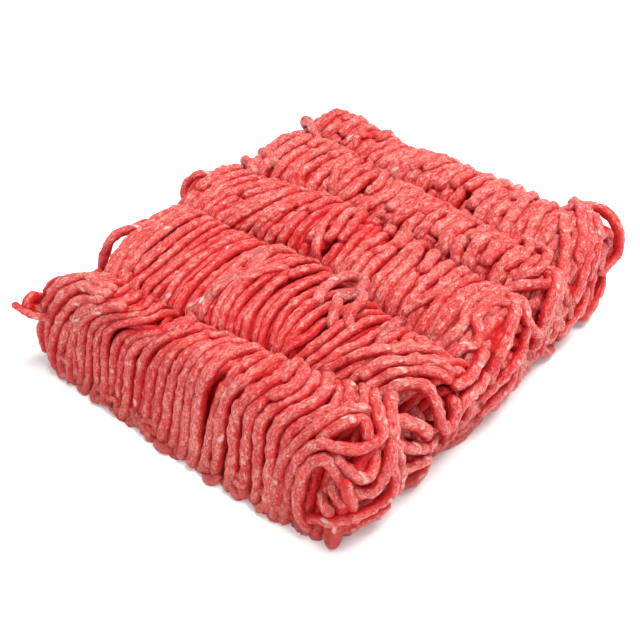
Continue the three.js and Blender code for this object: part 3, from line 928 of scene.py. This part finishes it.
# For strands through listed points the lift moves nothing: it only sets their painted shade
LISTED_SHADE_LIFT = -0.1
HAND_WOBBLE = 0.35
HAND_RING_STEP = 0.6
LEAST_RINGS = 14
# Outwards is away from the block's own middle, which starts this far inside its sides
INNER = 14
INNER_LOW = 12


def through_points(points, steps=90):
    """A smooth path through points: each piece is a cubic, with the slope between the neighbours."""
    points = np.array(points, float)
    u = np.linspace(0, len(points) - 1, steps)
    index, weights = curve_weights(np.arange(len(points)), u)
    return (points[index] * weights[..., None]).sum(1)


def laid_by_hand(name, lists, seed, size, lift=LISTED_SHADE_LIFT):
    """One piece of strands through listed points. Outwards is away from the middle of the block."""
    parts = []
    sizes = np.broadcast_to(size, len(lists))
    for number, points in enumerate(lists):
        path = through_points(points)
        path[:, 2] = np.minimum(path[:, 2], HIGHEST_PATH)
        path = path + HAND_WOBBLE * wobble(path + 37 * number, seed + 5, 6.0)
        length = np.linalg.norm(np.diff(path, axis=0), axis=1).sum()
        path = even_steps(path[None], int(max(LEAST_RINGS, length / HAND_RING_STEP)))
        inner = np.clip(path, (INNER, INNER, INNER_LOW), (FOLD_LENGTH - INNER, BLOCK_LENGTH - INNER, INNER))
        radius = STRAND / 2 * sizes[number] * np.random.default_rng(seed + number).uniform(0.92, 1.1, 1)
        parts.append(strand_part(path, unit(path - inner), radius, 15, seed + 3 * number, np.array([lift])))
    return beef_piece(name, parts)


laid_by_hand("corner_strands", CORNER_STRANDS, 810, HAND_SIZE)
laid_by_hand("left_corner_strands", LEFT_CORNER_STRANDS, 860, HAND_SIZE)
laid_by_hand("edge_strands", EDGE_STRANDS, 910, EDGE_SIZE)
laid_by_hand("loose_strands", LOOSE_STRANDS, 1010, LOOSE_SIZES, LOOSE_SHADE_LIFT)

# %% [markdown]
# ## The foot and the underside
# Round the foot the strands have been pressed and torn into short scraps, which lie along the table
# with a little slant and stick to each other. Scattered balls could fill the foot, but they would look
# like berries. So the scraps are short strands, thrown round the line of the foot. Underneath, the
# strands are pressed flat, and lie in rows from end to end.

# %% The line of the foot
FOOT_OUT = 1.5
END_OUT = 0.95


def foot_outline(steps=60):
    """The closed line of the foot in (x, y): both long faces at the table, and both ends."""
    x = np.linspace(end_at(-1, np.zeros(1))[0], FOLD_LENGTH, steps)
    far_x = np.linspace(end_at(-1, np.array([FOLDS - 0.01]))[0], FOLD_LENGTH, steps)
    near = skin(x, 0 * x)[0] - FOOT_OUT
    far = skin(far_x, 0 * far_x + FOLDS)[0] + FOOT_OUT
    y = np.linspace(1, BLOCK_LENGTH - 1, steps)
    right = end_face(1, y, 0 * y) + END_BULGE * END_OUT
    left = end_face(-1, y, 0 * y) - END_BULGE * END_OUT
    sides = [(x, near), (right, y), (far_x[::-1], far[::-1]), (left[::-1], y[::-1])]
    line = np.concatenate([np.stack(side, -1) for side in sides])
    return sum(np.roll(line, shift, 0) for shift in range(-3, 4)) / 7


outline = foot_outline()
outline = np.concatenate([outline, outline[:1]])
along = np.concatenate([[0], np.cumsum(np.linalg.norm(np.diff(outline, axis=0), axis=1))])
print("the foot is", round(along[-1]), "mm round")

# %% Foot scraps
SCRAPS = 420
SCRAP_FLATNESS = 0.8
SCRAP_LUMPS = (0.3, 0.4, 0.25)
SCRAP_LENGTH = (4.0, 10.0)
SCRAP_RADIUS = (0.9, 1.6)
SCRAP_SLANT = 0.5
LOWEST_SCRAP = 0.7
SCRAP_ROOM = 6.0
FACE_SLOPE = 0.42
DRAW_IN = (0.9, 2.6)
BOWED = 3.0
# The front right corner is rounder than the line of the foot, so scraps there are drawn in further
CORNER_X = 108
CORNER_ROUND = 6
CORNER_DRAW_IN = 3.0
rng = np.random.default_rng(1200)
length = rng.uniform(*SCRAP_LENGTH, SCRAPS)[:, None]
slope = rng.normal(0, SCRAP_SLANT, SCRAPS)[:, None]
t = np.linspace(-0.5, 0.5, 30)[None, :]
run = rng.uniform(0, along[-1], SCRAPS)[:, None] + length * t * np.cos(slope)
line = np.stack([np.interp(run % along[-1], along, outline[:, axis]) for axis in range(2)], -1)
height = LOWEST_SCRAP + SCRAP_ROOM * rng.uniform(0, 1, SCRAPS)[:, None] ** 1.7 + length * t * np.sin(slope)
height = np.maximum(height, 0.5 + 0.3 * np.abs(t))
towards_middle = unit(CENTRE[:2] - line)
draw_in = FACE_SLOPE * height + rng.uniform(*DRAW_IN, SCRAPS)[:, None] + BOWED * t**2
to_right = np.clip((line[..., :1] - CORNER_X) / CORNER_ROUND, 0, 1)
to_front = np.clip((CORNER_ROUND - line[..., 1:]) / CORNER_ROUND, 0, 1)
corner = to_right * to_front
draw_in = draw_in + CORNER_DRAW_IN * corner[..., 0]
paths = np.concatenate([line + towards_middle * draw_in[..., None], height[..., None]], -1)
paths = paths + 0.9 * wobble(paths, 1210, 4.0)
outward = np.concatenate([-towards_middle, 0.6 + 0 * height[..., None]], -1)
packed = even_steps(np.concatenate([paths, outward], -1), 11)
radius = rng.uniform(*SCRAP_RADIUS, SCRAPS)
# The lift of the scraps only sets their painted shade
lift = np.full(SCRAPS, 0.3)
paths, outward = packed[..., :3], unit(packed[..., 3:])
scraps = strand_part(paths, outward, radius, 8, 1220, lift, SCRAP_FLATNESS, SCRAP_LUMPS)
beef_piece("foot_scraps", [scraps])

# %% Pressed strands underneath
BASE_ROWS = np.arange(1.5, BLOCK_LENGTH - 1, PITCH)
BASE_HEIGHT = 1.0
LONG_BASE_WANDER = (2.4, 17)
SHORT_BASE_WANDER = (0.6, 9)
first = end_face(-1, BASE_ROWS, 0 * BASE_ROWS) - 2.0
last = end_face(1, BASE_ROWS, 0 * BASE_ROWS) + 1.0
x = first[:, None] + (last - first)[:, None] * np.linspace(0, 1, 80)[None, :]
row = BASE_ROWS[:, None] + 0 * x
sample = np.stack([x, row, 0 * x], -1)
own = sample + 70 * row[..., None]
y = row + uneven(sample, LONG_BASE_WANDER, 1310) + uneven(own, SHORT_BASE_WANDER, 1311)
paths = even_steps(np.stack([x, y, BASE_HEIGHT + 0 * x], -1), 64)
radius = np.random.default_rng(1312).uniform(2.0, 2.4, len(paths))
downwards = np.broadcast_to(np.array([0.0, 0, -1.0]), paths.shape)
# The lift of the pressed strands only sets their painted shade
pressed = strand_part(paths, downwards, radius, 9, 1313, np.full(len(paths), 0.4))
beef_piece("pressed_strands", [pressed])

# %% [markdown]
# ## The core
# Inside, the strands have run together. A smooth body fills the block a few millimetres under
# the skin, so no light comes through between the strands. More layers of strands could do that, but
# nobody would see them. The body takes the place of the whole solid, with the strands over it, and it
# is painted in full shade, the deepest red of the gaps.

# %% Core
CORE_SINK = -5.0
CORE_INSET = 7.0
CORE_ROWS = 90
CORE_COLUMNS = 60
CORE_FLOOR = 0.6
CORE_MARGIN = 4
CORE_TONE = 0.3


def core_part():
    """A grid of lane by place, sunk under the skin, that closes over both ends and under the base."""
    lane = np.linspace(CORE_INSET, FOLD_LENGTH - CORE_INSET, CORE_COLUMNS)[:, None] + np.zeros((1, CORE_ROWS))
    place = np.linspace(0, FOLDS, CORE_ROWS)[None, :] + np.zeros((CORE_COLUMNS, 1))
    points, _ = skin_point(lane + lean_at(lane, place), place, np.full(lane.shape, CORE_SINK))
    points[..., 2] = np.maximum(points[..., 2], CORE_FLOOR)
    points[..., 1] = np.clip(points[..., 1], CORE_MARGIN, BLOCK_LENGTH - CORE_MARGIN)
    middle = points.mean(1)
    columns, rows = CORE_COLUMNS, CORE_ROWS
    c = np.arange(columns - 1)[:, None] * rows
    r = np.arange(rows)[None, :]
    nxt = (r + 1) % rows
    quads = np.stack([c + r, c + rows + r, c + rows + nxt, c + nxt], -1).reshape(-1, 4)
    r, nxt = r[0], nxt[0]
    hub, last = columns * rows, (columns - 1) * rows
    first_cap = np.stack([r * 0 + hub, r, nxt], -1)
    last_cap = np.stack([r * 0 + hub + 1, last + nxt, last + r], -1)
    points = np.concatenate([points.reshape(-1, 3), middle[[0, -1]]])
    # The core is painted in full shade, as the deepest gap
    numbers = np.concatenate([np.tile([CORE_TONE, 1.0], (len(points), 1)), points], 1)
    triangles = np.concatenate([first_cap, last_cap])
    return {"points": points, "numbers": numbers, "quads": quads, "triangles": triangles}


core = beef_piece("beef_core", [core_part()])
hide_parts("mince_block")

# %% [markdown]
# ## Raw beef
# Fresh minced beef is wet muscle and fat that a plate has cut and pressed. So the eye gets a soft
# gloss over a coral red, with painted shade that turns it to deep red on the flanks of the strands and
# in the gaps, a crust of crumbs about a millimetre wide with cracks between them, finer grit on those,
# pale flecks of ground fat, and here and there a pale lump. A photograph could be wrapped over it, but
# patterns that follow each strand stay sharp from every side. Cell noise makes the crumbs and cracks,
# and smooth noise at other sizes makes the rest.

# %% Colours


def linear(hex_colour):
    """A hex sRGB colour as linear red, green, blue and alpha."""
    parts = [int(hex_colour[i:i + 2], 16) / 255 for i in (1, 3, 5)]
    return tuple(p / 12.92 if p <= 0.04045 else ((p + 0.055) / 1.055) ** 2.4 for p in parts) + (1.0,)


LEAN_RED = "#E84240"
CORAL = "#F0736A"
MUSCLE_RED = "#CC2226"
# Painted shade: a red for the flanks of the strands and a deeper one for the gaps between them
FLANK_SHADE_RED = "#D81216"
GAP_SHADE_RED = "#D60408"
FLECK_PINK = "#F8BEB2"
GRISTLE = "#C05A4C"
FAT_PALE = "#F6C8BC"
# A duller, darker red for the last 9 mm above the table
LOW_DULL_RED = "#C6524B"


def node(tree, kind, inputs=None, **settings):
    """Adds one node. inputs maps a socket's name or number to a value or to another socket."""
    made = tree.nodes.new(kind)
    for name, value in settings.items():
        setattr(made, name, value)
    for key, value in (inputs or {}).items():
        if isinstance(value, bpy.types.NodeSocket):
            tree.links.new(value, made.inputs[key])
        else:
            made.inputs[key].default_value = value
    return made


# %% Moist ground meat
# Each grain: how wide it is on a strand in mm, its detail and its roughness
GRAINS = {
    "muscle": (2.2, 4.0, 0.65),
    "fleck": (1.4, 4.0, 0.65),
    "gristle": (1.0, 4.0, 0.65),
    "fat": (4.5, 1.0, 0.65),
    "grit": (0.55, 2.0, 0.6),
    "crust": (1.3, 5.0, 0.75),
}
BLOTCH = 14 * MM
CRUMB = 1.15
BEND_LENGTH = 1.1
BEND = (2.0, 2.0, 2.0)
BLOTCH_SHARE = 0.4
CRACK_DEPTH = 0.5
GRIT_DEPTH = 0.25
CRUST_HEIGHT = 2.4 * MM


def raw_beef():
    """Moist ground meat: layers of colour over a bumpy, moist surface, from the deepest pattern up.

    Each layer follows a value. It starts at one number of it, is full at another, and a smooth step
    between them gives its share in the colour.
    """
    material = bpy.data.materials.new("raw_minced_beef")
    material.use_nodes = True
    tree = material.node_tree
    tree.nodes.clear()
    place = node(tree, "ShaderNodeTexCoord").outputs["Object"]
    own_place = node(tree, "ShaderNodeAttribute", attribute_name="own_place").outputs["Vector"]
    tone = node(tree, "ShaderNodeAttribute", attribute_name="tone").outputs["Fac"]
    gap_shade = node(tree, "ShaderNodeAttribute", attribute_name="gap_shade").outputs["Fac"]

    height = node(tree, "ShaderNodeSeparateXYZ", {"Vector": place}).outputs["Z"]
    grain = {}
    for name, (size, detail, roughness) in GRAINS.items():
        inputs = {"Vector": own_place, "Scale": 1 / size, "Detail": detail, "Roughness": roughness}
        grain[name] = node(tree, "ShaderNodeTexNoise", inputs).outputs["Fac"]
    blotches = node(tree, "ShaderNodeTexNoise", {"Vector": place, "Scale": 1 / BLOTCH, "Detail": 2.0})
    blotch = blotches.outputs["Fac"]
    inputs = {0: tone, 1: BLOTCH_SHARE, 2: blotch}
    shade = node(tree, "ShaderNodeMath", inputs, operation="MULTIPLY_ADD").outputs[0]
    warp = node(tree, "ShaderNodeTexNoise", {"Vector": own_place, "Scale": 1 / BEND_LENGTH, "Detail": 3.0})
    inputs = {0: warp.outputs["Color"], 1: BEND, 2: own_place}
    bent = node(tree, "ShaderNodeVectorMath", inputs, operation="MULTIPLY_ADD").outputs[0]
    cells = {"Vector": bent, "Scale": 1 / CRUMB}
    crumbs = node(tree, "ShaderNodeTexVoronoi", cells)
    crumb = node(tree, "ShaderNodeSeparateColor", {"Color": crumbs.outputs["Color"]}).outputs["Red"]
    edges = node(tree, "ShaderNodeTexVoronoi", cells, feature="DISTANCE_TO_EDGE")
    cracks = edges.outputs["Distance"]

    layers = [
        (shade, 0.4, 0.95, 1.0, CORAL),
        (grain["muscle"], 0.48, 0.64, 0.45, MUSCLE_RED),
        (crumb, 0.36, 0.16, 0.55, MUSCLE_RED),
        (grain["fleck"], 0.49, 0.66, 0.42, FLECK_PINK),
        (crumb, 0.66, 0.9, 0.42, FLECK_PINK),
        (cracks, 0.14, 0.02, 0.6, MUSCLE_RED),
        (grain["gristle"], 0.56, 0.68, 0.4, GRISTLE),
        (grain["grit"], 0.46, 0.36, 0.6, MUSCLE_RED),
        (grain["grit"], 0.56, 0.66, 0.45, FLECK_PINK),
        # Painted shade: flanks and low strands turn red, and the deepest gaps a deeper red
        (gap_shade, 0.02, 0.42, 1.0, FLANK_SHADE_RED),
        (grain["fat"], 0.72, 0.8, 0.9, FAT_PALE),
        (gap_shade, 0.35, 0.7, 1.0, GAP_SHADE_RED),
        # Duller and darker towards the table, over the last 9 mm
        (height, 9 * MM, 1 * MM, 0.6, LOW_DULL_RED),
    ]
    colour = linear(LEAN_RED)
    for value, starts, full, most, paint in layers:
        inputs = {"Value": value, "From Min": starts, "From Max": full, "To Max": most}
        share = node(tree, "ShaderNodeMapRange", inputs, interpolation_type="SMOOTHSTEP").outputs["Result"]
        inputs = {0: share, 6: colour, 7: linear(paint)}
        colour = node(tree, "ShaderNodeMix", inputs, data_type="RGBA").outputs[2]

    crust = grain["crust"]
    for value, amount in ((cracks, CRACK_DEPTH), (grain["grit"], GRIT_DEPTH)):
        inputs = {0: value, 1: amount, 2: crust}
        crust = node(tree, "ShaderNodeMath", inputs, operation="MULTIPLY_ADD").outputs[0]
    inputs = {"Strength": 1.0, "Distance": CRUST_HEIGHT, "Height": crust}
    bump = node(tree, "ShaderNodeBump", inputs).outputs["Normal"]
    inputs = {"Value": blotch, "To Min": 0.36, "To Max": 0.5}
    rough = node(tree, "ShaderNodeMapRange", inputs).outputs["Result"]
    shader = node(tree, "ShaderNodeBsdfPrincipled", {
        "Base Color": colour, "Roughness": rough, "Normal": bump, "IOR": 1.36,
        "Subsurface Weight": 0.4, "Subsurface Radius": (1.0, 0.1, 0.08), "Subsurface Scale": 1.5 * MM,
        "Coat Weight": 0.2, "Coat Roughness": 0.18,
    })
    node(tree, "ShaderNodeOutputMaterial", {"Surface": shader.outputs["BSDF"]})
    return material


beef = raw_beef()
for name in made_triangles:
    bpy.data.objects[name].data.materials.append(beef)
print("raw minced beef on", len(made_triangles), "pieces")

# %% [markdown]
# ## Floor, light and camera
# The block lies on a plain pale floor in soft studio light from above. A broad lamp overhead and a
# weaker one in front keep the shadows soft, and the white world fills them. The camera stands high at
# the front right corner.

# %% Floor
PAPER_WHITE = "#F7F7F7"
PAPER_ROUGHNESS = 0.8
FLOOR_SIZE = 4
bpy.ops.mesh.primitive_plane_add(size=FLOOR_SIZE)
floor = bpy.context.object
floor.name = "floor"
paper = bpy.data.materials.new("white_paper")
paper.use_nodes = True
coating = paper.node_tree.nodes["Principled BSDF"]
coating.inputs["Base Color"].default_value = linear(PAPER_WHITE)
coating.inputs["Roughness"].default_value = PAPER_ROUGHNESS
floor.data.materials.append(paper)

# %% Lights
WORLD_STRENGTH = 0.63


def soft_light(name, place, size, watts):
    """A square area light that faces the block."""
    light = bpy.data.lights.new(name, "AREA")
    light.size = size
    light.energy = watts
    lamp = bpy.data.objects.new(name, light)
    lamp.location = place
    lamp.rotation_euler = (-Vector(place)).to_track_quat("-Z", "Y").to_euler()
    bpy.context.scene.collection.objects.link(lamp)


soft_light("overhead", place=(0.12, 0.28, 0.9), size=0.6, watts=15.0)
soft_light("front_fill", place=(0.5, -0.8, 0.6), size=0.8, watts=5.0)
world = bpy.data.worlds.new("studio")
world.use_nodes = True
sky = world.node_tree.nodes["Background"]
sky.inputs["Color"].default_value = (1, 1, 1, 1)
sky.inputs["Strength"].default_value = WORLD_STRENGTH
bpy.context.scene.world = world
bpy.context.scene.view_settings.view_transform = "Standard"

# %% Camera
CAMERA_PLACE = Vector((0.1894, -0.2308, 0.2289))
CAMERA_AIM = Vector((-0.0050, -0.0041, 0.0))
SENSOR_WIDTH = 36.0
FOCAL_LENGTH = 60.9
camera = bpy.data.objects.new("camera", bpy.data.cameras.new("camera"))
camera.data.sensor_width = SENSOR_WIDTH
camera.data.lens = FOCAL_LENGTH
camera.location = CAMERA_PLACE
camera.rotation_euler = (CAMERA_AIM - CAMERA_PLACE).to_track_quat("-Z", "Y").to_euler()
bpy.context.scene.collection.objects.link(camera)
bpy.context.scene.camera = camera

# %% [markdown]
# ## Size
# Last, the triangles of the dressed block are counted.

# %% Size
print("triangles in all:", sum(made_triangles.values()))
